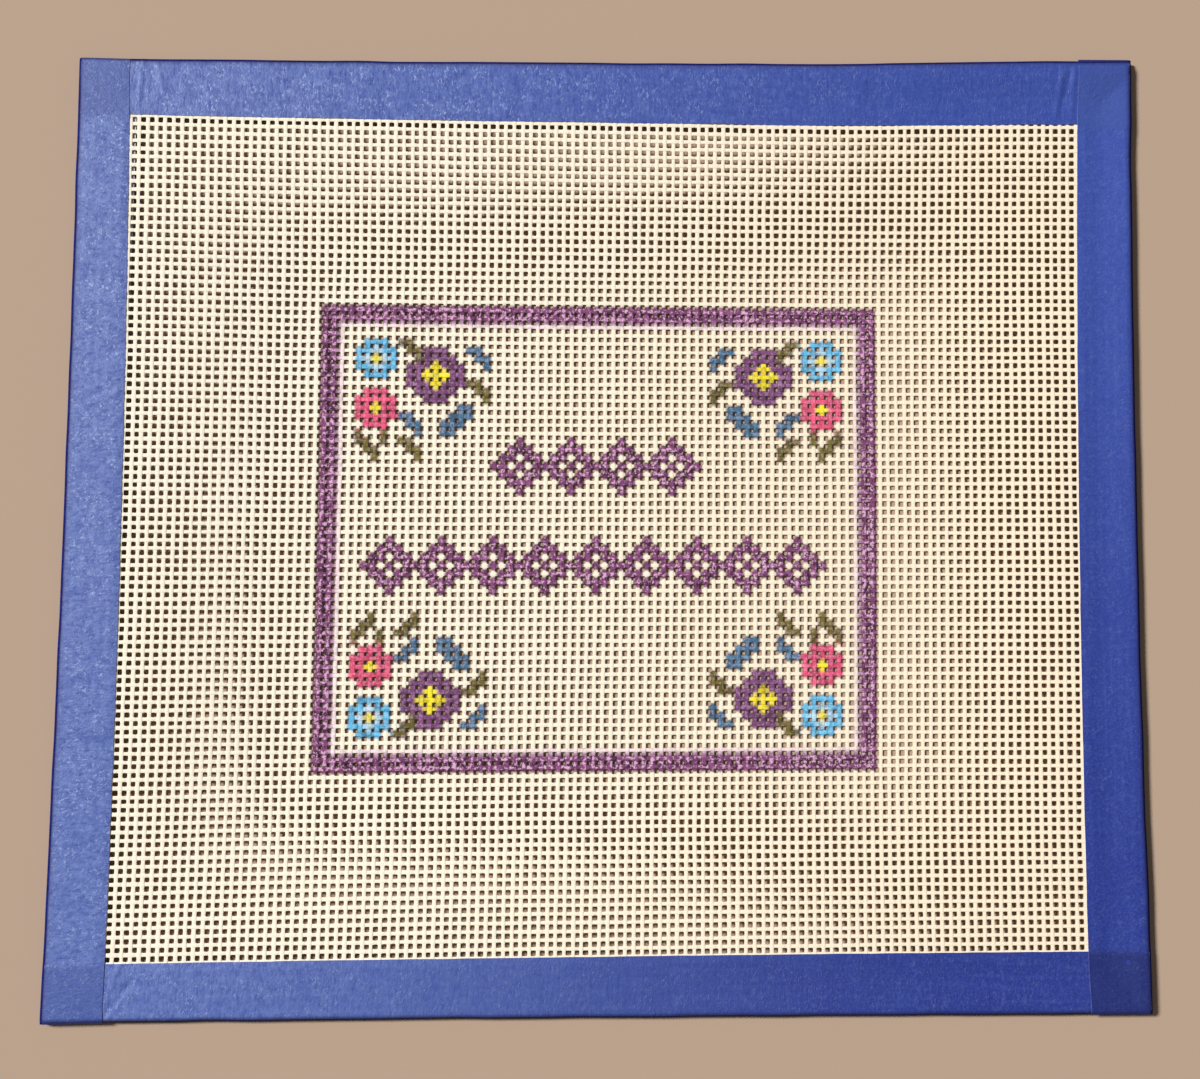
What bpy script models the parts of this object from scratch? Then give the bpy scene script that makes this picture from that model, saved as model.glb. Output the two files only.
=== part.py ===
"""Needlepoint canvas panel: a flat, stiff piece of open canvas whose four cut edges are bound in
folded paper tape.

Metres, +Z up. The panel lies face up on the plane z = 0, with the origin under the middle of its
outline. X runs along the picture's width and Y up the picture.

The top and bottom strips of tape go on first, and the two side strips lap over their ends.
"""

import math
from collections import namedtuple

import bmesh
import bpy
from mathutils import Vector

MM = 0.001

# Thicknesses, from the table upwards
CANVAS_THICKNESS = 1.0 * MM
TAPE_THICKNESS = 1.0 * MM
CLEARANCE = 0.3 * MM

# The tape is 1 inch wide and is folded over the canvas's cut edge
TAPE_WIDTH = 25.4 * MM
TAPE_ON_THE_EDGE = 1.2 * MM
FOLD_RADIUS = 1.2 * MM
FOLD_STEPS = 5

# The outline's corners, measured along the canvas's own threads
CORNERS = {
    "bottom_left": Vector((-124.4, -108.6)) * MM,
    "bottom_right": Vector((124.5, -110.1)) * MM,
    "top_right": Vector((122.9, 111.3)) * MM,
    "top_left": Vector((-123.2, 108.5)) * MM,
}

# Each strip of tape runs from one corner to another. Its front flap is this wide at those two
# ends, and its ends stand this far past the corners.
Strip = namedtuple("Strip", "start end inward front_start front_end past_start past_end")
STRIPS = {
    "left": Strip("bottom_left", "top_left", Vector((1, 0)), 13.7 * MM, 11.7 * MM, 0.3 * MM, 0.0),
    "right": Strip("bottom_right", "top_right", Vector((-1, 0)), 14.5 * MM, 12.9 * MM, 0.0, 0.8 * MM),
    "bottom": Strip("bottom_left", "bottom_right", Vector((0, 1)), 12.6 * MM, 14.0 * MM, 0.0, 0.0),
    "top": Strip("top_left", "top_right", Vector((0, -1)), 13.2 * MM, 15.5 * MM, 0.0, 0.0),
}
LAPPED = ("bottom", "top")
LAPPING = ("left", "right")

# How the canvas lies: off square by this angle, with the middle of each side drawn in this far
OFF_SQUARE = math.radians(0.69)
DRAWN_IN = {"left": 1.1 * MM, "right": 1.2 * MM, "bottom": 0.45 * MM, "top": 0.7 * MM}
HALF_WIDTH = 123.9 * MM
HALF_HEIGHT = 109.8 * MM
STEPS_ALONG = 12

# Heights that follow from the thicknesses
CANVAS_BOTTOM = TAPE_THICKNESS + CLEARANCE
CANVAS_TOP = CANVAS_BOTTOM + CANVAS_THICKNESS
PANEL_TOP = CANVAS_TOP + CLEARANCE + TAPE_THICKNESS
CANVAS_INSET = TAPE_THICKNESS + CLEARANCE

CUTTER_MARGIN = 2.0 * MM

CANVAS_COLOUR = (0.86, 0.80, 0.66, 1.0)
TAPE_COLOUR = (0.045, 0.085, 0.42, 1.0)


def clear_scene():
    for old in list(bpy.data.objects):
        bpy.data.objects.remove(old, do_unlink=True)


def laid(point):
    """Where a point of the square, straight-threaded canvas comes to lie."""
    across = point.x / HALF_WIDTH
    up = point.y / HALF_HEIGHT
    bow_x = DRAWN_IN["right" if across > 0 else "left"]
    bow_y = DRAWN_IN["top" if up > 0 else "bottom"]
    return Vector((
        point.x - bow_x * across * (1 - up * up) + math.tan(OFF_SQUARE) * point.y,
        point.y - bow_y * up * (1 - across * across),
    ))


def panel_middle():
    """The middle of the box round the strips' outer corners, which becomes the origin."""
    reached = []
    for side in LAPPING:
        strip = STRIPS[side]
        start, end = CORNERS[strip.start], CORNERS[strip.end]
        along = (end - start).normalized()
        reached.append(laid(start - along * strip.past_start))
        reached.append(laid(end + along * strip.past_end))
    lowest = Vector((min(p.x for p in reached), min(p.y for p in reached)))
    highest = Vector((max(p.x for p in reached), max(p.y for p in reached)))
    return (lowest + highest) / 2


MIDDLE = panel_middle()


def placed(point, height):
    """A point along the threads as a point of the model."""
    where = laid(point) - MIDDLE
    return (where.x, where.y, height)


def finished(name, shape, colour, roughness):
    """One named object from a bmesh, with a material of its own."""
    bmesh.ops.recalc_face_normals(shape, faces=shape.faces)
    mesh = bpy.data.meshes.new(name)
    shape.to_mesh(mesh)
    shape.free()
    material = bpy.data.materials.new(name)
    material.use_nodes = True
    shader = material.node_tree.nodes["Principled BSDF"]
    shader.inputs["Base Color"].default_value = colour
    shader.inputs["Roughness"].default_value = roughness
    mesh.materials.append(material)
    piece = bpy.data.objects.new(name, mesh)
    bpy.context.scene.collection.objects.link(piece)
    return piece


def canvas():
    """The canvas itself, cut a little smaller than the outline so that the tape goes round it."""
    inner = {
        name: corner - CANVAS_INSET * Vector((math.copysign(1, corner.x), math.copysign(1, corner.y)))
        for name, corner in CORNERS.items()
    }
    shape = bmesh.new()
    bmesh.ops.create_grid(shape, x_segments=STEPS_ALONG, y_segments=STEPS_ALONG, size=0.5)
    for vertex in shape.verts:
        across, up = vertex.co.x + 0.5, vertex.co.y + 0.5
        low = inner["bottom_left"].lerp(inner["bottom_right"], across)
        high = inner["top_left"].lerp(inner["top_right"], across)
        vertex.co = placed(low.lerp(high, up), CANVAS_BOTTOM)
    raised = bmesh.ops.extrude_face_region(shape, geom=shape.faces[:], use_keep_orig=True)
    top = [item for item in raised["geom"] if isinstance(item, bmesh.types.BMVert)]
    bmesh.ops.translate(shape, verts=top, vec=(0, 0, CANVAS_THICKNESS))
    return finished("canvas", shape, CANVAS_COLOUR, 0.85)


def folded_section(front, back):
    """The tape's section: (distance in from the fold, height), round the folded strip."""
    low, high = FOLD_RADIUS, PANEL_TOP - FOLD_RADIUS
    section = [(front, PANEL_TOP)]
    for centre, first_turn in ((high, 90), (low, 180)):
        for step in range(FOLD_STEPS + 1):
            turn = math.radians(first_turn + 90 * step / FOLD_STEPS)
            inward = FOLD_RADIUS * (1 + math.cos(turn))
            section.append((inward, centre + FOLD_RADIUS * math.sin(turn)))
    section += [
        (back, 0.0),
        (back, TAPE_THICKNESS),
        (TAPE_THICKNESS, TAPE_THICKNESS),
        (TAPE_THICKNESS, PANEL_TOP - TAPE_THICKNESS),
        (front, PANEL_TOP - TAPE_THICKNESS),
    ]
    return section


def room_section(front, back):
    """The room that a side strip needs, with its clearance, where it laps over another strip."""
    return [
        (front + CLEARANCE, PANEL_TOP + CUTTER_MARGIN),
        (-CUTTER_MARGIN, PANEL_TOP + CUTTER_MARGIN),
        (-CUTTER_MARGIN, -CUTTER_MARGIN),
        (back + CLEARANCE, -CUTTER_MARGIN),
        (back + CLEARANCE, CANVAS_BOTTOM),
        (CANVAS_INSET, CANVAS_BOTTOM),
        (CANVAS_INSET, CANVAS_TOP),
        (front + CLEARANCE, CANVAS_TOP),
    ]


def swept_along(side, section_at, extra=0.0):
    """A bmesh of the section that section_at gives, swept along one side of the canvas."""
    strip = STRIPS[side]
    start, end = CORNERS[strip.start], CORNERS[strip.end]
    along = (end - start).normalized()
    start, end = start - along * (strip.past_start + extra), end + along * (strip.past_end + extra)
    shape = bmesh.new()
    rings = []
    for step in range(STEPS_ALONG + 1):
        share = step / STEPS_ALONG
        front = strip.front_start + (strip.front_end - strip.front_start) * share
        back = TAPE_WIDTH - TAPE_ON_THE_EDGE - front
        edge = start.lerp(end, share)
        rings.append([
            shape.verts.new(placed(edge + strip.inward * inward, height))
            for inward, height in section_at(front, back)
        ])
    shape.faces.new(rings[0])
    shape.faces.new(reversed(rings[-1]))
    for ring, following in zip(rings, rings[1:]):
        for a, b, c, d in zip(ring, ring[1:] + ring[:1], following[1:] + following[:1], following):
            shape.faces.new((a, d, c, b))
    return shape


def tape_strip(side):
    """One strip of tape, folded over its edge from the front to the back."""
    piece = finished(f"tape_{side}", swept_along(side, folded_section), TAPE_COLOUR, 0.6)
    piece.data.shade_smooth()
    piece.data.set_sharp_from_angle(angle=math.radians(40))
    return piece


def lap_over(lapped, side):
    """Cuts the strip below to the canvas's own thickness where a side strip laps over its end."""
    room = finished(f"room_{side}", swept_along(side, room_section, CUTTER_MARGIN), TAPE_COLOUR, 0.6)
    room.hide_render = True
    room.display_type = "WIRE"
    for strip in lapped:
        cut = strip.modifiers.new(f"under_{side}", "BOOLEAN")
        cut.operation = "DIFFERENCE"
        cut.solver = "EXACT"
        cut.object = room


def main():
    clear_scene()
    panel = bpy.data.objects.new("needlepoint_panel", None)
    bpy.context.scene.collection.objects.link(panel)
    pieces = {side: tape_strip(side) for side in STRIPS}
    for side in LAPPING:
        lap_over([pieces[lapped] for lapped in LAPPED], side)
    for piece in (canvas(), *pieces.values()):
        piece.parent = panel


main()
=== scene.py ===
import math

import bpy
import numpy as np
from mathutils import Matrix, Vector


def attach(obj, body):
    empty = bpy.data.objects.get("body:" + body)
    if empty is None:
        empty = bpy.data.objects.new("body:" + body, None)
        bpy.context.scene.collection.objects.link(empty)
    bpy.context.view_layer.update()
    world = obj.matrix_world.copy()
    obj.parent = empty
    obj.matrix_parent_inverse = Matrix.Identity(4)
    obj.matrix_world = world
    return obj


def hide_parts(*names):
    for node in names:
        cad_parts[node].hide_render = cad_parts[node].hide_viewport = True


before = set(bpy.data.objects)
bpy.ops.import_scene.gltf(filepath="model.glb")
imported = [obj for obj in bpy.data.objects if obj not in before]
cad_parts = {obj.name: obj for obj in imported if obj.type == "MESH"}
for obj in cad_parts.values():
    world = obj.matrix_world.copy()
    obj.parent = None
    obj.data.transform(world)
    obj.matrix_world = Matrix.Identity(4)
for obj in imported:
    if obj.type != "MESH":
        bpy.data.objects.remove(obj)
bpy.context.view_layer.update()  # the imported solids: one canvas and four strips of tape

mm = 0.001
joinedWithin = 0.003 * mm  # ends this near each other become one

# The panel's outline along the canvas's own threads, in mm, as the solids have it

panel = {
    "bottomLeft": (-124.4, -108.6),
    "bottomRight": (124.5, -110.1),
    "topRight": (122.9, 111.3),
    "topLeft": (-123.2, 108.5),
    "halfWidth": 123.9,
    "halfHeight": 109.8,
    "offSquare": 0.69,  # degrees
    "drawnIn": {"left": 1.1, "right": 1.2, "bottom": 0.45, "top": 0.7},  # at the middle of each side
    "pulledUp": 0.75,  # at the top right corner, in the taping
    "pulledFrom": (45, 45),
    "pulledOver": (60, 55),
    "flatter": 0.34,  # how much lower the right side lies inside its fold, as a share
    "flatterFrom": -10,
    "flatterOver": 110,
    "foldReach": 10,
}

# Each strip of tape: the corners it runs between, its front flap's width at those ends, how far
# its ends stand past the corners, and whether it lies over the ends of the other two

strips = {
    "top": {
        "ends": ("topLeft", "topRight"), "inward": (0, -1),
        "front": (13.2, 15.5), "past": (-0.7, -0.7), "over": False,
    },
    "bottom": {
        "ends": ("bottomLeft", "bottomRight"), "inward": (0, 1),
        "front": (12.6, 14.0), "past": (-0.7, -0.7), "over": False,
    },
    "left": {
        "ends": ("bottomLeft", "topLeft"), "inward": (1, 0),
        "front": (13.7, 11.7), "past": (0.3, 0.0), "over": True,
    },
    "right": {
        "ends": ("bottomRight", "topRight"), "inward": (-1, 0),
        "front": (14.5, 12.9), "past": (0.0, 0.8), "over": True,
    },
}


def laid(x, y):  # where a point of the square, straight-threaded canvas comes to lie, in mm
    across = x / panel["halfWidth"]
    up = y / panel["halfHeight"]
    drawnIn = panel["drawnIn"]
    bowX = np.where(across > 0, drawnIn["right"], drawnIn["left"])
    bowY = np.where(up > 0, drawnIn["top"], drawnIn["bottom"])
    lean = math.tan(math.radians(panel["offSquare"]))
    return x - bowX * across * (1 - up * up) + lean * y, y - bowY * up * (1 - across * across)


def middleOfPanel():  # the middle of the outline's box, which is the solids' origin
    reached = []
    for strip in (strips["left"], strips["right"]):
        start, end = (np.array(panel[corner]) for corner in strip["ends"])
        along = (end - start) / np.linalg.norm(end - start)
        reached.append(laid(*(start - along * strip["past"][0])))
        reached.append(laid(*(end + along * strip["past"][1])))
    reached = np.array(reached, float)
    return (reached.min(axis=0) + reached.max(axis=0)) / 2


middle = middleOfPanel()


def smooth(value):  # 0 below 0, 1 above 1 and a soft step between
    value = np.clip(value, 0, 1)
    return value * value * (3 - 2 * value)


def placed(x, y, z, pulled=1):  # points along the threads, in mm, as points of the model, in metres
    (fromX, fromY), (overX, overY) = panel["pulledFrom"], panel["pulledOver"]
    nearCorner = smooth((x - fromX) / overX) * smooth((y - fromY) / overY)  # the top right one
    fromEdge = np.minimum(panel["halfWidth"] - np.abs(x), panel["halfHeight"] - np.abs(y))
    toRight = smooth((x - panel["flatterFrom"]) / panel["flatterOver"])
    lower = panel["flatter"] * toRight * smooth(fromEdge / panel["foldReach"])
    laidX, laidY = laid(x, y + panel["pulledUp"] * nearCorner * pulled)
    return np.column_stack((laidX - middle[0], laidY - middle[1], z * (1 - lower))) * mm


def fromScreen(red, green, blue):  # a screen colour as the light that it stands for
    parts = np.array((red, green, blue)) / 255
    return np.where(parts <= 0.04045, parts / 12.92, ((parts + 0.055) / 1.055) ** 2.4)


def opaque(red, green, blue):
    return (*fromScreen(red, green, blue), 1)


def readPoints(mesh):
    found = np.empty(len(mesh.vertices) * 3)
    mesh.vertices.foreach_get("co", found)
    return found.reshape(-1, 3)


def writePoints(mesh, points):
    mesh.vertices.foreach_set("co", points.ravel())
    mesh.update()


def readNumbers(items, name, width, kind=np.float32):
    found = np.empty(len(items) * width, kind)
    items.foreach_get(name, found)
    return found.reshape(-1, width) if width > 1 else found


def writeNumbers(mesh, name, kind, key, values):  # one value or group of values for each point
    layer = mesh.attributes.new(name, kind, "POINT")
    layer.data.foreach_set(key, values.astype(np.float32).ravel())


def writeMap(mesh, name, perCorner):
    layer = mesh.uv_layers.new(name=name)
    layer.uv.foreach_set("vector", perCorner.astype(np.float32).ravel())


def selectOnly(*pieces):
    bpy.ops.object.select_all(action="DESELECT")
    for piece in pieces:
        piece.select_set(True)
    bpy.context.view_layer.objects.active = pieces[0]


def repeated(piece, count, step):  # a row of the piece, with the ends that meet joined up
    selectOnly(piece)
    row = piece.modifiers.new("row", "ARRAY")
    row.count = count
    row.use_relative_offset = False
    row.use_constant_offset = True
    row.constant_offset_displace = step
    row.use_merge_vertices = True
    row.merge_threshold = joinedWithin
    bpy.ops.object.modifier_apply(modifier=row.name)


class Wire:  # a node's output that takes part in Python sums, each of which adds a Math node
    def __init__(self, finish, socket):
        self.finish = finish
        self.socket = socket

    def sum(self, operation, first, second):
        return self.finish.node("ShaderNodeMath", {"operation": operation}, {0: first, 1: second})

    def __add__(self, other):
        return self.sum("ADD", self, other)

    def __sub__(self, other):
        return self.sum("SUBTRACT", self, other)

    def __rsub__(self, other):
        return self.sum("SUBTRACT", other, self)

    def __mul__(self, other):
        return self.sum("MULTIPLY", self, other)

    __radd__ = __add__
    __rmul__ = __mul__


class Finish:  # a material as it is put together
    def __init__(self, name):
        self.material = bpy.data.materials.new(name)
        self.material.use_nodes = True
        self.tree = self.material.node_tree
        self.shader = self.tree.nodes["Principled BSDF"]

    def feed(self, socket, value):
        if isinstance(value, Wire):
            self.tree.links.new(value.socket, socket)
        else:
            socket.default_value = value

    def node(self, kind, settings=None, sockets=None, output=0):
        made = self.tree.nodes.new(kind)
        for name, value in (settings or {}).items():
            setattr(made, name, value)
        for name, value in (sockets or {}).items():
            self.feed(made.inputs[name], value)
        return Wire(self, made.outputs[output])

    def surface(self, **sockets):
        for name, value in sockets.items():
            self.feed(self.shader.inputs[name.replace("_", " ")], value)

    def parts(self, vector):  # a vector's three numbers
        split = self.node("ShaderNodeSeparateXYZ", {}, {0: vector})
        return [Wire(self, split.socket.node.outputs[index]) for index in range(3)]

    def joined(self, x, y, z=0.0):
        return self.node("ShaderNodeCombineXYZ", {}, {0: x, 1: y, 2: z})

    def mixed(self, share, first, second):
        return self.node("ShaderNodeMix", {"data_type": "RGBA"}, {0: share, 6: first, 7: second}, 2)

    def noise(self, vector, scale, detail=2.0, roughness=0.5):
        sockets = {"Vector": vector, "Scale": scale, "Detail": detail, "Roughness": roughness}
        return self.node("ShaderNodeTexNoise", {}, sockets)

    def softStep(self, value, low, high):
        sockets = {"Value": value, "From Min": low, "From Max": high}
        return self.node("ShaderNodeMapRange", {"interpolation_type": "SMOOTHSTEP"}, sockets)

    def curve(self, value, operation):  # sine or cosine
        return self.node("ShaderNodeMath", {"operation": operation}, {0: value})

    def bump(self, height, strength, distance, below=None):
        sockets = {"Height": height, "Strength": strength, "Distance": distance}
        if below:
            sockets["Normal"] = below
        return self.node("ShaderNodeBump", {}, sockets)


# The picture painted on the threads. A cell is one crossing: columns are counted from left to
# right and rows from the top down, as a stitcher counts them.

design = {
    "columns": (-33, 32),  # first and last column of the border
    "rows": (7, 62),
    "borderWidth": 2,
    "sprayFrom": (4, 4),  # cells from the border's outer edge to the spray's corner
    "diamondReach": 3,
    "upperChain": (26, (-10, -4, 2, 8)),  # row, and the columns of the diamonds' middles
    "lowerChain": (38, (-25, -19, -13, -7, -1, 5, 11, 17, 23)),
}

paints = {
    "P": fromScreen(130, 72, 118),  # purple of the border and the diamonds
    "V": fromScreen(124, 74, 122),  # purple of the large flower
    "H": fromScreen(250, 214, 240),  # where the border's colour has run
    "R": fromScreen(232, 88, 126),
    "B": fromScreen(100, 186, 232),
    "b": fromScreen(188, 224, 244),
    "Y": fromScreen(252, 230, 40),
    "G": fromScreen(114, 104, 48),
    "S": fromScreen(78, 116, 148),
}

# How fully a paint covers its threads, where that is not fully. The fullest carries the most painted
# highlight and painted shade.

covers = {"H": 0.40, "G": 0.78, "V": 0.85, "R": 0.82, "B": 0.82, "b": 0.82, "Y": 0.82, "S": 0.84}

painting = {
    "strongest": "YbBRSVGPH",  # where two paints meet between crossings, the one named first runs further
    "yields": 0.35,
    "bareYields": 0.01,
    "toneSpread": 0.10,
    "fullness": (0.90, 1.05),
    "swells": 0.42,  # how much wider it makes its threads
    "swellsFrom": 0.45,
    "swellsOver": 0.4,
    "throughToBack": 0.35,
}

motifs = {
    "largeFlower": ("..VVV..", ".VVVVV.", "VVVYVVV", "VVYYYVV", "VVVYVVV", ".VVVVV.", "..VVV.."),
    "pinkFlower": (".RRR.", "RRRRR", "RRYRR", "RRRRR", ".RRR."),
    "blueFlower": (".BBB.", "BBbBB", "BbYbB", "BBbBB", ".BBB."),
    "longLeaf": ("..SS", ".SSS", "SSS.", "SS.."),
    "shortLeaf": ("SS.", ".SS", "..S"),
    "twig": ("G..G", "GG.G", ".GG.", "..G."),
    "bud": ("GG.", ".GG", "..G"),
}

spray = (  # motif, cells in from the spray's corner across, and down
    ("blueFlower", 0, 0),
    ("bud", 5, 0),
    ("largeFlower", 6, 1),
    ("shortLeaf", 13, 1),
    ("bud", 13, 5),
    ("longLeaf", 10, 8),
    ("pinkFlower", 0, 6),
    ("twig", 0, 11),
    ("shortLeaf", 5, 9),
    ("bud", 5, 12),
)


def paintedCells():  # the letter of the paint on each painted cell, by column and row
    left, right = design["columns"]
    top, bottom = design["rows"]
    cells = {}
    for column in range(left, right + 1):
        for row in range(top, bottom + 1):
            inside = min(column - left, right - column, row - top, bottom - row)
            if inside <= design["borderWidth"]:
                cells[column, row] = "P" if inside < design["borderWidth"] else "H"
    over, down = design["sprayFrom"]
    for motif, across, below in spray:
        for line, letters in enumerate(motifs[motif]):
            for place, letter in enumerate(letters):
                inX, inY = over + across + place, down + below + line
                for cell in ((left + inX, top + inY), (right - inX, top + inY),
                             (left + inX, bottom - inY), (right - inX, bottom - inY)):
                    if letter != "." and cell not in cells:
                        cells[cell] = letter
    reach = design["diamondReach"]
    for row, middles in (design["upperChain"], design["lowerChain"]):
        for column in middles:
            for x in range(-reach, reach + 1):
                for y in range(-reach, reach + 1):
                    if abs(x) + abs(y) in (0, reach - 1, reach):
                        cells[column + x, row + y] = "P"
    return cells


# The canvas: warp and weft threads that pass over and under each other

weave = {
    "columns": 124,
    "rows": 112,
    "bands": 4,  # the cloth is made in bands, each one piece
    "warpPitch": 25.4 / 13,  # 13 threads to the inch
    "weftPitch": 25.4 / 13 * 0.9788,
    "firstColumn": -61.9,  # in pitches from the middle of the panel
    "firstRow": -55.25,
    "columnName": -61,  # what the design calls the first column and the first row
    "rowName": 89,
    "sides": 6,
    "spanWidth": {"warp": 0.80, "weft": 0.74},  # between crossings, where the thread is round
    "spanHeight": 0.36,
    "crossingWidth": 0.99,  # and at them, where it is pressed flat
    "crossingHeight": 0.23,
    "rise": 0.065,
    "heightInTape": 2.05,  # of the cloth's mid-plane: held up by the tape, and lying low inside it
    "heightInside": 0.42,
    "settlesOver": 46.0,
    "drift": 0.05,  # how far a thread wanders, in mm, and over how many crossings
    "driftsOver": 5.0,
    "swelling": 0.09,
    "swellsOver": 3.0,
    "lifting": 0.05,
    "liftsOver": 7.0,
    "slants": 0.5,  # how far the upright threads bow to the right, in mm
    "slantsFrom": -60,
    "slantsOver": 60,
    "slantsMost": -10,
    "slantsWithin": 85,
    "slack": 0.01,  # for a place that is a hair off its crossing
    "faceAbove": -0.2,  # how high on a thread its face in the map begins
    "backBelow": -0.3,
    "mapTurn": 0.55,
    "mapMargin": 0.01,
}


def pullThread(alongX, overFirst):  # one thread through two crossings, pulled out ring by ring
    pitch = weave["warpPitch"] if alongX else weave["weftPitch"]
    otherPitch = weave["weftPitch"] if alongX else weave["warpPitch"]
    lane = 0.5 if overFirst == alongX else 1.5
    rise = weave["rise"] if overFirst else -weave["rise"]
    span = (weave["spanWidth"]["weft" if alongX else "warp"], weave["spanHeight"], 0.0)
    over = (weave["crossingWidth"], weave["crossingHeight"], rise)
    under = (weave["crossingWidth"], weave["crossingHeight"], -rise)
    rings = (span, over, span, under, span)
    way = Vector((1, 0, 0)) if alongX else Vector((0, 1, 0))
    across = Vector((0, 1, 0)) if alongX else Vector((1, 0, 0))
    here = across * lane * otherPitch * mm
    bpy.ops.object.select_all(action="DESELECT")
    bpy.ops.mesh.primitive_circle_add(
        vertices=weave["sides"], radius=mm, fill_type="NOTHING", location=here,
        rotation=(math.pi / 2, 0, math.pi / 2 if alongX else 0),
    )
    thread = bpy.context.object
    bpy.ops.object.transform_apply(location=True, rotation=True, scale=True)
    bpy.ops.object.mode_set(mode="EDIT")
    bpy.ops.mesh.select_all(action="SELECT")
    before = (2.0 * math.cos(math.pi / weave["sides"]), 2.0, 0.0)  # the ring stands on a point
    for index, ring in enumerate(rings):
        if index:
            step = (way * pitch / 2 + Vector((0, 0, ring[2] - before[2]))) * mm
            bpy.ops.mesh.extrude_region_move(TRANSFORM_OT_translate={"value": step})
            here = here + step
        scale = way + across * ring[0] / before[0] + Vector((0, 0, ring[1] / before[1]))
        bpy.ops.transform.resize(value=scale, center_override=here)
        before = ring
    bpy.ops.mesh.select_all(action="SELECT")
    bpy.ops.mesh.normals_make_consistent(inside=False)
    bpy.ops.object.mode_set(mode="OBJECT")
    points = readPoints(thread.data) / mm
    along = points[:, 0] if alongX else points[:, 1]
    sideways = (points[:, 1] if alongX else points[:, 0]) - lane * otherPitch
    widths, heights, lifts = np.array(rings)[np.rint(along / (pitch / 2)).astype(int)].T
    upright = (points[:, 2] - lifts) / heights * 2
    yarn = np.column_stack((sideways / widths * 2, upright, np.full(len(points), not alongX)))
    writeNumbers(thread.data, "yarn", "FLOAT_VECTOR", "vector", yarn)  # which way round, and which kind
    return thread


def wovenBand():  # a band of cloth, straight and flat, from one cell of four crossings
    threads = [pullThread(alongX, overFirst) for alongX in (True, False) for overFirst in (True, False)]
    selectOnly(*threads)
    bpy.ops.object.join()
    band = bpy.context.object
    rows = weave["rows"] // weave["bands"]
    repeated(band, weave["columns"] // 2, (2 * weave["warpPitch"] * mm, 0, 0))
    repeated(band, rows // 2, (0, 2 * weave["weftPitch"] * mm, 0))
    bpy.ops.object.mode_set(mode="EDIT")
    bpy.ops.mesh.select_all(action="SELECT")
    bpy.ops.mesh.fill_holes(sides=weave["sides"])
    bpy.ops.mesh.select_all(action="SELECT")
    bpy.ops.mesh.normals_make_consistent(inside=False)
    bpy.ops.object.mode_set(mode="OBJECT")
    bpy.ops.object.shade_smooth_by_angle(angle=math.radians(45))
    mapBand(band.data)
    return band


def mapBand(mesh):  # the cloth's face in the map's upper half and its back in the lower half
    points = readPoints(mesh) / mm
    yarn = readNumbers(mesh.attributes["yarn"].data, "vector", 3)
    corners = readNumbers(mesh.loops, "vertex_index", 1, np.int32)
    starts = readNumbers(mesh.polygons, "loop_start", 1, np.int32)
    counts = readNumbers(mesh.polygons, "loop_total", 1, np.int32)
    heights = np.add.reduceat(yarn[corners, 1], starts) / counts
    front = np.repeat(heights > weave["faceAbove"], counts)
    acrossYarn, upYarn, isWarp = yarn[corners].T
    turn = np.arctan2(acrossYarn, np.where(front, upYarn, -upYarn)) / math.pi  # how far round the thread
    x, y = (points[corners] / (weave["warpPitch"], weave["weftPitch"], 1)).T[:2]
    laneX, laneY = (np.floor(place) + 0.5 + turn * weave["mapTurn"] for place in (x, y))
    x, y = np.where(isWarp > 0.5, laneX, x), np.where(isWarp > 0.5, y, laneY)
    margin = weave["mapMargin"]
    flatX = margin + (1 - 2 * margin) * x / weave["columns"]
    flatY = margin + (1 - 2 * margin) * y / (weave["rows"] / weave["bands"])
    writeMap(mesh, "OFBake", np.column_stack((flatX, flatY / 2 + np.where(front, 0.5, 0.0))))


def drifted(table, thread, along, every):  # a random value that changes slowly along each thread
    place = along / every
    low = np.floor(place).astype(int)
    share = smooth(place - low)
    return table[thread, low] * (1 - share) + table[thread, low + 1] * share


def clothHeight(x, y):  # the canvas is held up by the thick taped edge and lies low inside it
    left = x - panel["bottomLeft"][0] - strips["left"]["front"][0]
    right = panel["bottomRight"][0] - strips["right"]["front"][0] - x
    below = y - panel["bottomLeft"][1] - strips["bottom"]["front"][0]
    above = panel["topLeft"][1] - strips["top"]["front"][0] - y
    reach = weave["settlesOver"]
    inside = smooth(np.minimum(left, right) / reach) * smooth(np.minimum(below, above) / reach)
    return weave["heightInTape"] + (weave["heightInside"] - weave["heightInTape"]) * inside


def paintTables(rng):  # for each crossing of the cloth: the paint's colour and how much it covers
    shape = (weave["rows"] + 2, weave["columns"] + 2)
    colour = np.zeros(shape + (3,))
    cover = np.zeros(shape)
    weight = np.full(shape, painting["bareYields"])
    tone = rng.normal(0, painting["toneSpread"], shape)
    fullness = rng.uniform(*painting["fullness"], shape)
    for (column, row), letter in paintedCells().items():
        place = weave["rowName"] - row, column - weave["columnName"]
        colour[place] = paints[letter] * (1 + tone[place])
        cover[place] = covers.get(letter, 1.0) * fullness[place]
        weight[place] = painting["yields"] ** painting["strongest"].index(letter)
    beside = sum(np.roll(colour, turn, axis) for axis in (0, 1) for turn in (-1, 1))
    share = sum(np.roll(cover > 0, turn, axis).astype(float) for axis in (0, 1) for turn in (-1, 1))
    spread = np.where(share[:, :, None] > 0, beside / np.maximum(share, 1)[:, :, None], 1.0)
    colour = np.where(cover[:, :, None] > 0, colour, spread)  # bare threads have their neighbours' hue
    return colour, cover, weight


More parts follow.
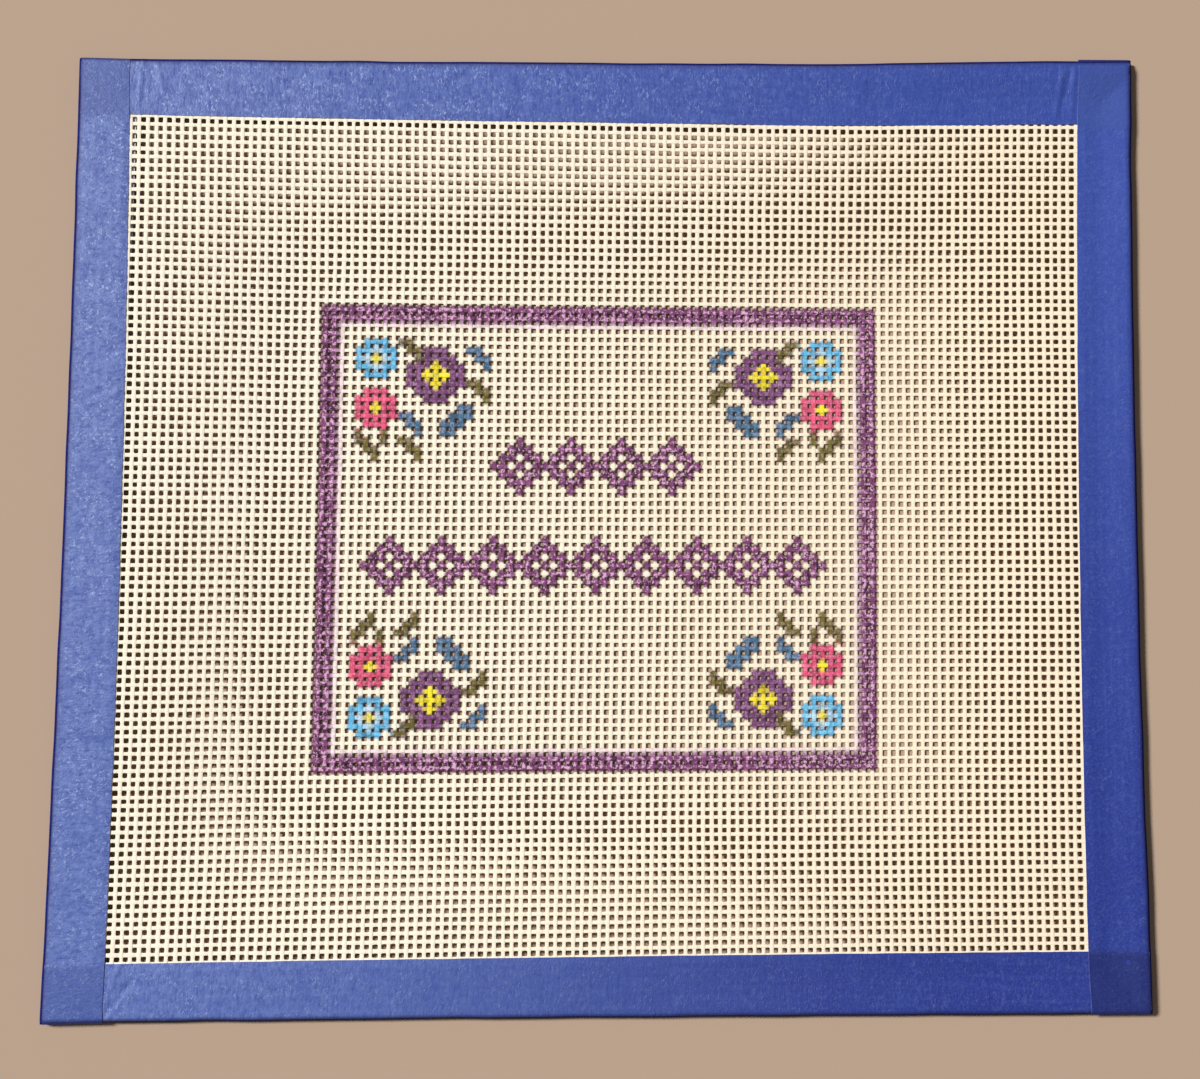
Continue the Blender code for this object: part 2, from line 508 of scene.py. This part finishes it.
def layBand(band, number, tables):  # gives a band its place, its unevenness and its paint
    mesh = band.data
    points = readPoints(mesh) / mm
    yarn = readNumbers(mesh.attributes["yarn"].data, "vector", 3)
    isWarp = yarn[:, 2] > 0.5
    pitchX, pitchY = weave["warpPitch"], weave["weftPitch"]
    column = points[:, 0] / pitchX - 0.5
    row = points[:, 1] / pitchY - 0.5 + number * (weave["rows"] // weave["bands"])
    thread = np.rint(np.where(isWarp, column, row)).astype(int)
    along = np.where(isWarp, row, column) + 1
    kind = np.where(isWarp, thread, thread + weave["columns"])
    sideways = np.where(isWarp, (column - thread) * pitchX, (row - thread) * pitchY)
    colour, cover, weight = tables["paint"]
    slack = weave["slack"]
    acrossLow = np.where(isWarp, thread, np.floor(column + slack).astype(int))
    acrossHigh = np.where(isWarp, thread, np.ceil(column - slack).astype(int))
    upLow = np.where(isWarp, np.floor(row + slack).astype(int), thread)
    upHigh = np.where(isWarp, np.ceil(row - slack).astype(int), thread)
    part = weight[upLow, acrossLow]
    part = (part / (part + weight[upHigh, acrossHigh]))[:, None]
    mixedColour = colour[upLow, acrossLow] * part + colour[upHigh, acrossHigh] * (1 - part)
    share = (cover[upLow, acrossLow] + cover[upHigh, acrossHigh]) / 2
    wet = smooth((share - painting["swellsFrom"]) / painting["swellsOver"])
    sideways = sideways * (1 + painting["swells"] * wet)
    swelling = drifted(tables["swell"], kind, along, weave["swellsOver"])
    sideways = sideways * (1 + weave["swelling"] * swelling)
    sideways = sideways + weave["drift"] * drifted(tables["drift"], kind, along, weave["driftsOver"])
    x = (weave["firstColumn"] + np.where(isWarp, thread, column)) * pitchX + np.where(isWarp, sideways, 0)
    y = (weave["firstRow"] + np.where(isWarp, row, thread)) * pitchY + np.where(isWarp, 0, sideways)
    inward = smooth((x - weave["slantsFrom"]) / weave["slantsOver"])
    x = x + weave["slants"] * inward * smooth(1 - np.abs(y - weave["slantsMost"]) / weave["slantsWithin"])
    lifting = drifted(tables["swell"], kind, along, weave["liftsOver"])
    lift = points[:, 2] * (1 + weave["lifting"] * lifting)
    writePoints(mesh, placed(x, y, clothHeight(x, y) + lift))
    atBack = yarn[:, 1] < weave["backBelow"]
    share = share * np.where(atBack, painting["throughToBack"], 1.0)
    writeNumbers(mesh, "paint", "FLOAT_COLOR", "color", np.column_stack((mixedColour, share)))


def canvasFinish():  # sized cotton yarn, with matt paint that has sunk in unevenly, and painted shade and highlights on both
    finish = Finish("paintedCanvas")
    paint = finish.node("ShaderNodeAttribute", {"attribute_name": "paint"})
    cover = Wire(finish, paint.socket.node.outputs["Alpha"])
    yarn = finish.node("ShaderNodeAttribute", {"attribute_name": "yarn"}, output=1)
    where = finish.node("ShaderNodeTexCoord", output=3)
    acrossYarn, upYarn, isWarp = finish.parts(yarn)
    x, y, _ = finish.parts(where)
    patches = finish.noise(where, 14.0, 2.0)
    specks = finish.noise(where, 1500.0, 2.0, 0.6)
    crown = finish.softStep(upYarn, 0.50, 0.85)
    edges = finish.softStep(upYarn, 0.74, 0.52)  # the threads' edges as far down as shows from above, darkened with painted shade
    shadedWalls = finish.softStep(upYarn, 0.56, -0.10)  # the threads' sides: painted shade, warm brown where they turn down into the holes; size gathers there too
    shadedWalls = shadedWalls * (0.45 + 0.55 * finish.softStep(upYarn, -1.0, -0.5))
    shade = opaque(206, 160, 116)
    cream = finish.mixed(patches, opaque(252, 245, 225), opaque(254, 249, 235))
    # the cream goes darker and warmer toward the right: painted shade of the light falling off
    cream = finish.mixed(finish.softStep(x, -0.09, 0.12) * 0.55, cream, opaque(246, 231, 202))
    cream = finish.mixed(finish.softStep(specks, 0.40, 0.75) * 0.22, cream, opaque(240, 218, 176))
    # painted shade: the threads' edges, stronger toward the right, and their sides in warm brown
    cream = finish.mixed(edges * (0.08 + 0.22 * finish.softStep(x, -0.05, 0.09)), cream, shade)
    cream = finish.mixed(shadedWalls * 0.75, cream, shade)
    # the brush noise gives the paint its uneven edge, and with the blots it places painted highlights and
    # shade
    brush = finish.noise(where, 1250.0, 3.0, 0.65)
    shadeBlots = finish.noise(where, 900.0, 3.0, 0.65)
    thick = finish.softStep(cover + (brush - 0.5) * 0.55, 0.24, 0.54)
    # dark: the paint in painted shade
    dark = finish.mixed(0.88, paint, opaque(26, 4, 24))
    # pale: the paint lightened to a painted highlight
    bright = finish.node("ShaderNodeVectorMath", {"operation": "SCALE"}, {0: paint, "Scale": 2.6})
    capped = {0: bright, 1: (0.94, 0.94, 0.94)}
    pale = finish.node("ShaderNodeVectorMath", {"operation": "MINIMUM"}, capped)
    pale = finish.mixed(0.46, pale, opaque(252, 228, 240))
    fullest = finish.softStep(cover, 0.86, 0.93)
    # painted shade in dark blots across the paint
    colour = finish.mixed(finish.softStep(shadeBlots, 0.50, 0.57) * (0.45 + 0.35 * fullest), paint, dark)
    # painted highlights in flecks, mostly on the threads' crowns
    highlightFlecks = finish.softStep(brush, 0.50, 0.57) * (0.45 + 0.50 * crown)
    colour = finish.mixed(highlightFlecks * (0.30 + 0.70 * fullest), colour, pale)
    # painted shade on the painted threads' edges, where they turn down into the holes
    colour = finish.mixed(finish.softStep(upYarn, 0.68, 0.50) * 0.80, colour, dark)
    base = finish.mixed(thick, cream, colour)
    lengthwise = x * (1 - isWarp) + y * isWarp
    turn = finish.node("ShaderNodeMath", {"operation": "ARCTAN2"}, {0: upYarn, 1: acrossYarn})
    ply = finish.curve(lengthwise * (2 * math.pi / (0.62 * mm)) + turn * 2, "SINE")
    fuzz = finish.noise(where, 4200.0, 2.0)
    normal = finish.bump(ply * 0.35 + fuzz * 0.6, 0.25, 0.05 * mm)
    finish.surface(Base_Color=base, Roughness=0.78 + 0.12 * specks, Normal=normal)
    finish.surface(Specular_IOR_Level=0.25, Sheen_Weight=0.08)
    return finish.material


def makeCanvas():
    rng = np.random.default_rng(13)
    threads = weave["columns"] + weave["rows"]
    longest = max(weave["columns"], weave["rows"]) + 4
    tables = {
        "drift": rng.normal(0, 1, (threads, longest)).clip(-2, 2),
        "swell": rng.normal(0, 1, (threads, longest)).clip(-2, 2),
        "paint": paintTables(rng),
    }
    finish = canvasFinish()
    first = wovenBand()
    bands = [first]
    while len(bands) < weave["bands"]:
        copy = first.copy()
        copy.data = first.data.copy()
        bpy.context.scene.collection.objects.link(copy)
        bands.append(copy)
    for number, band in enumerate(bands):
        band.name = f"canvas_band_{number + 1}"
        band.data.name = band.name
        band.data.materials.append(finish)
        layBand(band, number, tables)
        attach(band, "root")
        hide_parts("canvas")
        print("woven", band.name, len(band.data.polygons), "faces")


# The tape: creped paper, one inch wide, folded over the edge from the face to the back

tape = {
    "width": 25.4,
    "onTheEdge": 0.3,  # the canvas's own thickness takes this much of the width
    "thickness": 0.08,
    "faceHeight": 2.44,
    "foldDepth": 1.2,
    "foldSteps": 8,
    "nominalFront": 13.4,
    "frontCuts": 16,
    "backCuts": 7,
    "stepAlong": 0.45,
    "backRise": 1.66,
    "backRisesOver": 5.0,
    "topRises": 1.4,  # half of how much higher the top edge is at its right end
    "overlap": 0.10,
    "overlapRamp": 2.2,
    "overlapsAbove": 95.4,  # where the side strips lie on the others: up and down the threads
    "overlapsBelow": -96.1,
    "overlapsLeft": -111.0,  # and across them
    "overlapsRight": 109.95,
    "endClears": 0.22,  # how far a side strip's cut end stands off the fold beneath it
    "edgeWobble": 0.05,  # of the outer edge, and over what length
    "edgeWobblesOver": 9.0,
    "edgeDepth": 6.0,
    "frontWobble": 0.025,  # of the face's inner edge
    "frontWobblesOver": 4.0,
    "frontDepth": 8.0,
    "surfaceWobble": 0.030,
    "surfaceWobblesOver": 3.1,
    "surfaceSlant": 0.2,
    "surfaceDepth": 3.0,
    "belly": {"left": 0.45, "right": 0.20, "top": 0.30, "bottom": 0.25},  # of the outer edge
    "mattFold": {"left": 0.75, "right": 0.75, "top": 0.75, "bottom": 0.35},  # in from that edge
    "mattPast": 0.65,  # how far past it the fold's dark tint and painted shade run out
    "mattEnd": 0.8,
    "mattFades": 0.5,
    "pressedEdge": 0.11,  # how far the face's inner edge dips to meet the threads
    "pressedOver": 1.5,
    "creaseFades": 1.5,
}

# Creases left where the tape was pressed down: the middle along the threads, the length, the
# lean from the vertical in degrees, the width and the height, in mm
creases = {
    "top": (
        (106.9, 103.0, 9.0, 12, 0.40, -0.20),
        (105.4, 103.5, 9.0, 8, 0.55, 0.18),
        (108.7, 102.5, 11.0, 3, 0.5, 0.16),
        (-108.9, 103.5, 9.0, 4, 0.45, 0.10),
        (-104.5, 104.0, 6.0, -14, 0.45, 0.10),
        (58.0, 104.0, 5.0, 20, 0.5, 0.08),
    ),
    "bottom": (
        (-107.6, -103.6, 7.0, 38, 0.5, -0.16),
        (-106.4, -101.6, 3.5, 80, 0.5, -0.12),
        (-108.6, -99.5, 4.0, 20, 0.5, 0.12),
        (90.5, -103.0, 8.0, 0, 0.6, 0.09),
        (86.0, -102.5, 6.0, -8, 0.6, 0.08),
    ),
    "left": (
        (-117.0, 52.0, 5.5, 85, 0.5, 0.14),
        (-115.5, 30.0, 5.0, 70, 0.5, 0.12),
        (-118.0, -6.0, 4.0, -60, 0.5, 0.10),
    ),
    "right": ((117.5, -62.0, 5.0, 70, 0.6, 0.07),),
}


def tapeStrip(side, length):  # a straight strip: face, fold and back, one step long and then repeated
    step = length / round(length / tape["stepAlong"]) * mm
    fold, high = tape["foldDepth"] * mm, tape["faceHeight"] * mm
    front = tape["nominalFront"] * mm
    back = (tape["width"] - tape["onTheEdge"]) * mm - front
    bpy.ops.object.select_all(action="DESELECT")
    bpy.ops.mesh.primitive_plane_add(size=1, location=((front + fold) / 2, step / 2, high))
    strip = bpy.context.object
    bpy.ops.transform.resize(value=(front - fold, step, 1), center_override=strip.location)
    bpy.ops.object.transform_apply(location=True, rotation=True, scale=True)
    bpy.ops.object.mode_set(mode="EDIT")
    bpy.ops.mesh.select_mode(type="EDGE")
    bpy.ops.mesh.select_all(action="DESELECT")
    bpy.ops.object.mode_set(mode="OBJECT")
    for edge in strip.data.edges:
        low, far = (strip.data.vertices[index].co for index in edge.vertices)
        edge.select = abs(low.x - far.x) > step / 10 and abs(low.y - far.y) < step / 10
    bpy.ops.object.mode_set(mode="EDIT")
    bpy.ops.mesh.subdivide(number_cuts=tape["frontCuts"])
    bpy.ops.mesh.select_all(action="DESELECT")
    bpy.ops.object.mode_set(mode="OBJECT")
    for edge in strip.data.edges:
        edge.select = all(strip.data.vertices[index].co.x < fold + step / 100 for index in edge.vertices)
    bpy.ops.object.mode_set(mode="EDIT")
    bpy.ops.mesh.spin(
        steps=tape["foldSteps"], dupli=False, angle=math.pi, use_auto_merge=False,
        center=(fold, 0, high / 2), axis=(0, 1, 0),
    )
    for _ in range(tape["backCuts"]):
        onward = ((back - fold) / tape["backCuts"], 0, 0)
        bpy.ops.mesh.extrude_region_move(TRANSFORM_OT_translate={"value": onward})
    bpy.ops.mesh.select_all(action="SELECT")
    bpy.ops.mesh.normals_make_consistent(inside=False)
    bpy.ops.object.mode_set(mode="OBJECT")
    repeated(strip, round(length / tape["stepAlong"]), (0, step, 0))
    return strip


def wobble(rng, along, every, amount):  # a random line that wanders slowly
    knots = rng.normal(0, amount, int(along.max() / every) + 4)
    place = (along - along.min()) / every
    low = np.floor(place).astype(int)
    share = smooth(place - low)
    return knots[low] * (1 - share) + knots[low + 1] * share


def foldTape(strip, side, length):  # lays the straight strip along its edge of the panel
    rng = np.random.default_rng(sum(map(ord, side)))
    plan = strips[side]
    start, end = (np.array(panel[corner]) for corner in plan["ends"])
    toward = (end - start) / np.linalg.norm(end - start)
    begin = start - toward * plan["past"][0]
    mesh = strip.data
    points = readPoints(mesh) / mm
    inward, along, height = points.T
    share = along / length
    isFace = height > tape["faceHeight"] / 2
    fold = tape["foldDepth"]
    flaps = tape["width"] - tape["onTheEdge"]
    front = plan["front"][0] + (plan["front"][1] - plan["front"][0]) * share
    back = flaps - front
    made = np.where(isFace, tape["nominalFront"], flaps - tape["nominalFront"])
    flapScale = (np.where(isFace, front, back) - fold) / (made - fold)
    onFlap = np.clip(inward - fold, 0, None)

    wander = wobble(rng, along, tape["frontWobblesOver"], tape["frontWobble"])
    frontEdge = wander * smooth(onFlap / tape["frontDepth"]) * isFace
    outer = wobble(rng, along, tape["edgeWobblesOver"], tape["edgeWobble"])
    outer = outer - tape["belly"][side] * 4 * share * (1 - share)
    outer = outer * (1 - smooth(inward / tape["edgeDepth"]))
    depth = np.minimum(inward, fold) + onFlap * flapScale + frontEdge + outer
    across = np.array(plan["inward"])
    flat = begin + toward * along[:, None] + across * depth[:, None]
    x, y = flat.T

    topEdge = panel["topLeft"][1] + (x / panel["halfWidth"] + 1) * tape["topRises"]
    fromSides = np.minimum(x - panel["bottomLeft"][0], panel["bottomRight"][0] - x)
    fromEnds = np.minimum(y - panel["bottomLeft"][1], topEdge - y)
    ridge = smooth((fromSides - fold) / tape["backRisesOver"])
    ridge = ridge * smooth((fromEnds - fold) / tape["backRisesOver"])
    height = height + np.where(isFace, 0, tape["backRise"] * ridge * (inward > fold))

    ramp = tape["overlapRamp"]
    # turned: the fold, darker where no canvas lies behind it and with painted shade
    turned = smooth((tape["mattFold"][side] + tape["mattPast"] - inward) / tape["mattFades"])
    if plan["over"]:  # rises over the others' ends, and rounds down with their folds
        doubled = smooth((y - tape["overlapsAbove"]) / ramp + 0.5)
        doubled = doubled + smooth((tape["overlapsBelow"] - y) / ramp + 0.5)
        height = height + np.where(isFace, doubled * tape["overlap"], 0)
        toEnd = np.minimum(along - plan["past"][0], length - plan["past"][1] - along)
        toEnd = np.clip(toEnd, 0, fold)
        rounded = np.sqrt(1 - np.clip(1 - (toEnd + tape["endClears"]) / fold, 0, 1) ** 2)
        height = tape["faceHeight"] / 2 + (height - tape["faceHeight"] / 2) * rounded
        turned = np.maximum(turned, smooth((tape["mattEnd"] - toEnd) / tape["mattFades"]))
        onTop = doubled
    else:
        doubled = smooth((tape["overlapsLeft"] - x) / ramp)
        doubled = doubled + smooth((x - tape["overlapsRight"]) / ramp)
        height = height + np.where(isFace, 0, doubled * tape["overlap"])
        onTop = np.zeros(len(points))

    pressed = smooth((onFlap * flapScale - front + fold) / tape["pressedOver"] + 1)
    height = height - np.where(isFace, tape["pressedEdge"] * pressed * (1 - doubled), 0)
    where = along + onFlap * tape["surfaceSlant"]
    surface = wobble(rng, where, tape["surfaceWobblesOver"], tape["surfaceWobble"])
    height = height + surface * smooth(onFlap / tape["surfaceDepth"]) * (1 - pressed)
    for middleX, middleY, size, lean, width, rise in creases[side]:
        way = np.array((math.sin(math.radians(lean)), math.cos(math.radians(lean))))
        off = flat - (middleX, middleY)
        beyond = np.clip(np.abs(off @ way) - size / 2, 0, None) / tape["creaseFades"]
        beside = off @ (way[1], -way[0]) / width
        height = height + np.where(isFace, rise * np.exp(-beside ** 2 - beyond ** 2), 0)
    height = np.maximum(height, 0.0)
    writePoints(mesh, placed(x, y, height, not plan["over"]))

    marks = np.column_stack((turned, onTop, np.zeros(len(points))))
    writeNumbers(mesh, "tapeMarks", "FLOAT_VECTOR", "vector", marks)
    corners = readNumbers(mesh.loops, "vertex_index", 1, np.int32)
    path = np.where(isFace, -inward, inward)
    writeMap(mesh, "alongTape", np.column_stack((along, path))[corners])
    column = x / weave["warpPitch"] - weave["firstColumn"]
    row = y / weave["weftPitch"] - weave["firstRow"]
    writeMap(mesh, "overThreads", np.column_stack((column, row))[corners])


def tapeFinish():  # blue crepe paper with a soft gloss on its face and gum on its inside, with painted sheen, shade and glints
    finish = Finish("crepeTape")
    where = finish.node("ShaderNodeTexCoord", output=3)
    along, path, _ = finish.parts(finish.node("ShaderNodeUVMap", {"uv_map": "alongTape"}))
    column, row, _ = finish.parts(finish.node("ShaderNodeUVMap", {"uv_map": "overThreads"}))
    marks = finish.node("ShaderNodeAttribute", {"attribute_name": "tapeMarks"}, output=1)
    turned, doubled, inside = finish.parts(marks)
    x, y, _ = finish.parts(where)
    crepe = finish.noise(finish.joined(along * 1.3, path * 0.5), 1.0, 3.0, 0.6)
    grain = finish.noise(where, 2000.0, 3.0, 0.65)
    curls = {"Vector": finish.joined(along * 1.7, path * 1.15, 7.0)}
    curls.update({"Scale": 1.0, "Detail": 3.0, "Distortion": 0.9})
    highlightFlecks = finish.node("ShaderNodeTexNoise", {}, curls)
    broken = finish.noise(where, 240.0, 3.0, 0.6)
    glints = finish.softStep(highlightFlecks, 0.53, 0.67) * finish.softStep(broken, 0.36, 0.62)
    mottle = finish.noise(where, 560.0, 4.0, 0.7)
    streaks = finish.noise(finish.joined(along * 0.05, path * 0.8, 3.0), 1.0, 2.0)
    # lighter to the left and the top, darker to the right and the bottom: painted sheen and painted shade
    side = finish.softStep(x, -0.13, 0.09)
    # lit: the top left, where the painted highlights and shade are strongest
    lit = finish.softStep(x - y * 0.5, 0.06, -0.16)
    low = finish.softStep(y, 0.09, -0.09)
    right = finish.mixed(low, opaque(50, 74, 162), opaque(29, 48, 136))
    base = finish.mixed(side, opaque(90, 112, 182), right)
    # painted shade in the mottle and the crepe's hollows, painted highlights on mottle, grain and glints,
    # strongest where lit; the streaks are the paper's own tone
    shadeAndHighlights = (
        (finish.softStep(mottle, 0.52, 0.36) * (0.25 + lit * 0.30), opaque(44, 66, 158)),
        (finish.softStep(mottle, 0.52, 0.68) * (0.10 + lit * 0.35), opaque(124, 146, 214)),
        (finish.softStep(streaks, 0.48, 0.66) * 0.08, opaque(80, 108, 196)),
        (finish.softStep(grain, 0.42, 0.72) * (0.12 + lit * 0.14), opaque(104, 130, 208)),
        (finish.softStep(crepe, 0.48, 0.36) * (0.25 + lit * 0.25), opaque(34, 52, 138)),
        (glints * (0.04 + lit * 0.58), opaque(174, 194, 242)),
    )
    for share, tone in shadeAndHighlights:
        base = finish.mixed(share, base, tone)
    # tape on tape is darker, and darker still toward the bottom right with painted shade
    corner = finish.mixed(low * side, opaque(58, 80, 156), opaque(17, 28, 88))
    base = finish.mixed(doubled * 0.60, base, corner)
    base = finish.mixed(inside, base, opaque(206, 202, 226))
    # the fold's dark tint and painted shade
    base = finish.mixed(turned * 0.90, base, opaque(12, 18, 88))
    ribs = finish.curve(column * (2 * math.pi), "COSINE") + finish.curve(row * (2 * math.pi), "COSINE")
    ribs = ribs * (1 - doubled)
    crinkles = finish.bump(crepe * 0.5 + grain * 0.25 + glints * 0.20 + mottle * 0.35, 1.0, 0.18 * mm)
    normal = finish.bump(ribs, 0.20, 0.02 * mm, crinkles)
    finish.surface(Base_Color=base, Roughness=0.44 + 0.14 * grain + 0.30 * turned, Normal=normal)
    finish.surface(Specular_IOR_Level=0.6)
    return finish.material


def foldFinish():  # where the paper turns over the edge its crepe is stretched smooth and matt, dark where no canvas lies behind it and with painted shade
    finish = Finish("foldedTape")
    where = finish.node("ShaderNodeTexCoord", output=3)
    grain = finish.noise(where, 900.0, 3.0, 0.65)
    foldTintAndShade = finish.mixed(finish.softStep(grain, 0.40, 0.70), opaque(12, 18, 84), opaque(22, 34, 110))
    normal = finish.bump(grain, 0.6, 0.05 * mm)
    finish.surface(Base_Color=foldTintAndShade, Roughness=0.80 + 0.15 * grain, Normal=normal)
    finish.surface(Specular_IOR_Level=0.1)
    return finish.material


def makeTape():
    finishes = tapeFinish(), foldFinish()
    for side, plan in strips.items():
        start, end = (Vector(panel[corner]) for corner in plan["ends"])
        length = (end - start).length + sum(plan["past"])
        strip = tapeStrip(side, length)
        strip.name = f"tape_strip_{side}"
        strip.data.name = strip.name
        for finish in finishes:
            strip.data.materials.append(finish)
        for face in strip.data.polygons:
            reach = max(strip.data.vertices[index].co.x for index in face.vertices)
            face.material_index = int(reach < tape["mattFold"][side] * mm)
        foldTape(strip, side, length)
        selectOnly(strip)
        if side in ("bottom", "right"):  # laid the other way round, which turned these inside out
            bpy.ops.object.mode_set(mode="EDIT")
            bpy.ops.mesh.select_all(action="SELECT")
            bpy.ops.mesh.flip_normals()
            bpy.ops.object.mode_set(mode="OBJECT")
        thick = strip.modifiers.new("paper", "SOLIDIFY")
        thick.thickness = tape["thickness"] * mm
        thick.offset = -1
        bpy.ops.object.modifier_apply(modifier=thick.name)
        marks = readNumbers(strip.data.attributes["tapeMarks"].data, "vector", 3)
        marks[len(marks) // 2:, 2] = 1  # the second half of the points are the wall's inner side
        strip.data.attributes["tapeMarks"].data.foreach_set("vector", marks.ravel())
        bpy.ops.object.shade_smooth_by_angle(angle=math.radians(50))
        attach(strip, "root")
        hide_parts(f"tape_{side}")
        length * mm
        print("folded", strip.name, len(strip.data.polygons), "faces")


# The studio: a plain pale floor, one soft light from the upper left and a little light all round

studio = {
    "floorSize": 6.0,
    "floorColour": fromScreen(182, 159, 140),
    "lightFrom": (-2.10, 0.92, 1.82),
    "lightSpread": 12.0,  # degrees
    "lightPower": 4.60,
    "lightColour": (1.0, 0.985, 0.955),
    "roundLight": 0.14,
    "roundColour": (1.0, 0.97, 0.93, 1),
    "cameraPlace": (-18.38, -27.60, 342.66),  # mm
    "cameraAim": (-1.63, -3.07, 0.0),
    "cameraTurn": -0.13,  # degrees
    "lens": 45.0,
}


def makeStudio():
    bpy.ops.object.select_all(action="DESELECT")
    bpy.ops.mesh.primitive_plane_add(size=studio["floorSize"])
    floor = bpy.context.object
    floor.name = "floor"
    finish = Finish("paleFloor")
    finish.surface(Base_Color=(*studio["floorColour"], 1), Roughness=0.8, Specular_IOR_Level=0.2)
    floor.data.materials.append(finish.material)

    light = bpy.data.lights.new("windowLight", "SUN")
    light.angle = math.radians(studio["lightSpread"])
    light.energy = studio["lightPower"]
    light.color = studio["lightColour"]
    lamp = bpy.data.objects.new("windowLight", light)
    bpy.context.scene.collection.objects.link(lamp)
    lamp.location = studio["lightFrom"]
    lamp.rotation_euler = (-Vector(studio["lightFrom"])).to_track_quat("-Z", "Y").to_euler()

    world = bpy.data.worlds.new("studio")
    bpy.context.scene.world = world
    world.use_nodes = True
    sky = world.node_tree.nodes["Background"]
    sky.inputs["Color"].default_value = studio["roundColour"]
    sky.inputs["Strength"].default_value = studio["roundLight"]

    lens = bpy.data.cameras.new("camera")
    lens.lens = studio["lens"]
    lens.clip_start = 0.01
    camera = bpy.data.objects.new("camera", lens)
    bpy.context.scene.collection.objects.link(camera)
    place = Vector(studio["cameraPlace"]) * mm
    forward = (Vector(studio["cameraAim"]) * mm - place).normalized()
    right = forward.cross(Vector((0, 1, 0))).normalized()
    up = right.cross(forward)
    stand = Matrix((right, up, -forward)).transposed().to_4x4()
    turn = Matrix.Rotation(math.radians(studio["cameraTurn"]), 4, "Z")
    camera.matrix_world = Matrix.Translation(place) @ stand @ turn
    bpy.context.scene.camera = camera
    bpy.context.scene.view_settings.view_transform = "Standard"
    print("studio set")


makeStudio()
makeCanvas()
makeTape()
